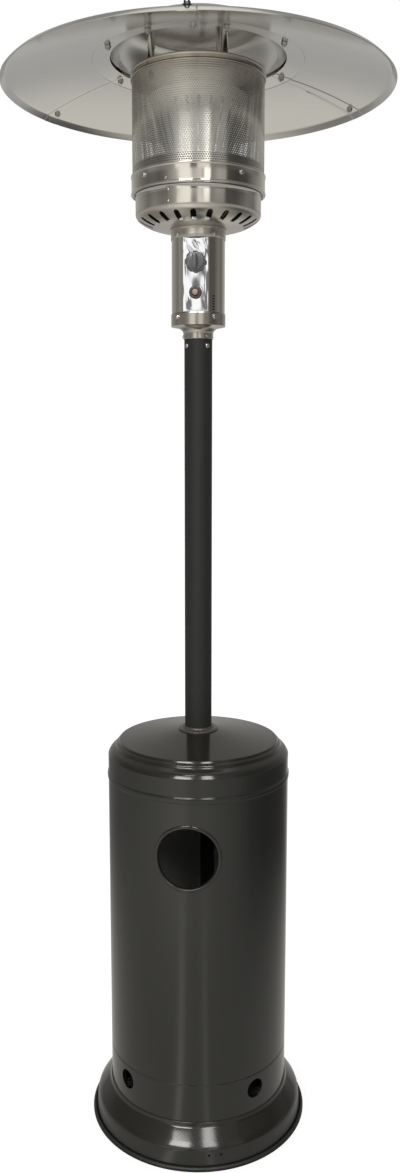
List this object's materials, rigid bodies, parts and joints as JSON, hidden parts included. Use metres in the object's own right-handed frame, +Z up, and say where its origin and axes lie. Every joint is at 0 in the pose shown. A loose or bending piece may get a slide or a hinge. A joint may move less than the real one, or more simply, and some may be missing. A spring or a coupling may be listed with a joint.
{
  "type": "gas patio heater",
  "caption": "Free-standing gas patio heater with a round base, lifting bottle housing, post, control head with knob and igniter, perforated emitter and wide shallow reflector.",
  "frame": {"origin": "on the floor, under the axis of the post", "axes": "+Z up along the post, -Y towards the front with the knob, +X to the viewer's right"},
  "size_m": [0.7513, 0.7514, 2.2294],
  "materials": {
    "charcoal_paint": "satin-gloss charcoal paint",
    "black_paint": "satin black paint",
    "edge_rubber": "matte black rubber",
    "ballast_iron": "rough cast",
    "stainless": "polished warm stainless",
    "bright_plate": "mirror polished",
    "reflector_aluminium": "satin aluminium",
    "zinc": "zinc plated",
    "valve_brass": "machined brass",
    "copper_tube": "drawn copper",
    "black_plastic": "moulded black plastic",
    "button_red": "glossy copper red plastic",
    "ceramic": "glazed ceramic"
  },
  "bodies": {
    "stand": {"base_trim": "edge_rubber", "base_pan": "charcoal_paint", "base_weight": "ballast_iron", "vent_ring": "charcoal_paint", "support_leg_1": "black_paint", "support_leg_2": "black_paint", "support_leg_3": "black_paint", "leg_bolts": "zinc", "leg_nuts": "zinc", "post_flange": "black_paint", "flange_bolts": "zinc", "flange_nuts": "zinc", "post": "black_paint", "post_bolts": "zinc", "neck_cone": "stainless", "neck_screws": "stainless", "control_box": "stainless", "control_plate": "bright_plate", "box_screws": "stainless", "gas_valve": "zinc", "inlet_fitting": "valve_brass", "gas_jet": "valve_brass", "tilt_switch": "black_plastic", "igniter_barrel": "black_plastic", "igniter_bezel": "black_plastic", "ignition_lead": "black_plastic", "spark_electrode": "ceramic", "pilot_tube": "copper_tube", "thermocouple": "copper_tube", "burner_plate": "stainless", "mixing_tube": "stainless", "burner_head": "stainless", "burner_cone": "stainless", "burner_cup": "stainless", "cup_collar": "stainless", "collar_bolts": "zinc", "emitter_screen": "stainless", "emitter_lid": "stainless", "spacer_tubes": "stainless", "stud_rods": "zinc", "stud_nuts": "zinc", "reflector_panel_1": "reflector_aluminium", "reflector_panel_2": "reflector_aluminium", "reflector_panel_3": "reflector_aluminium", "reflector_dome": "reflector_aluminium", "dome_spacers": "zinc", "ring_bolts": "zinc", "ring_nuts": "zinc", "seam_bolts": "zinc", "seam_nuts": "zinc", "seam_washers": "zinc", "rim_loop": "black_paint"},
    "housing": {"housing_shell": "charcoal_paint", "housing_cap": "charcoal_paint", "post_collar": "black_plastic"},
    "rotor": {"valve_rotor": "valve_brass"},
    "knob": {"control_knob": "black_plastic", "valve_stem": "zinc"},
    "igniter": {"igniter_button": "button_red"}
  },
  "joints": [
    {"name": "housing_lift", "type": "slide", "parent": "stand", "child": "housing", "axis": [0, 0, 1], "range_m": [0, 0.76]},
    {"name": "valve_turn", "type": "hinge", "parent": "stand", "child": "rotor", "pos_m": [0, -0.03, 1.786], "axis": [0, -1, 0], "range_deg": [0, 180]},
    {"name": "knob_push", "type": "slide", "parent": "rotor", "child": "knob", "axis": [0, 1, 0], "range_m": [0, 0.004], "stiffness_N_per_m": 800, "springref_m": -0.003},
    {"name": "igniter_push", "type": "slide", "parent": "stand", "child": "igniter", "axis": [0, 1, 0], "range_m": [0, 0.005], "stiffness_N_per_m": 1500, "springref_m": -0.003}
  ]
}
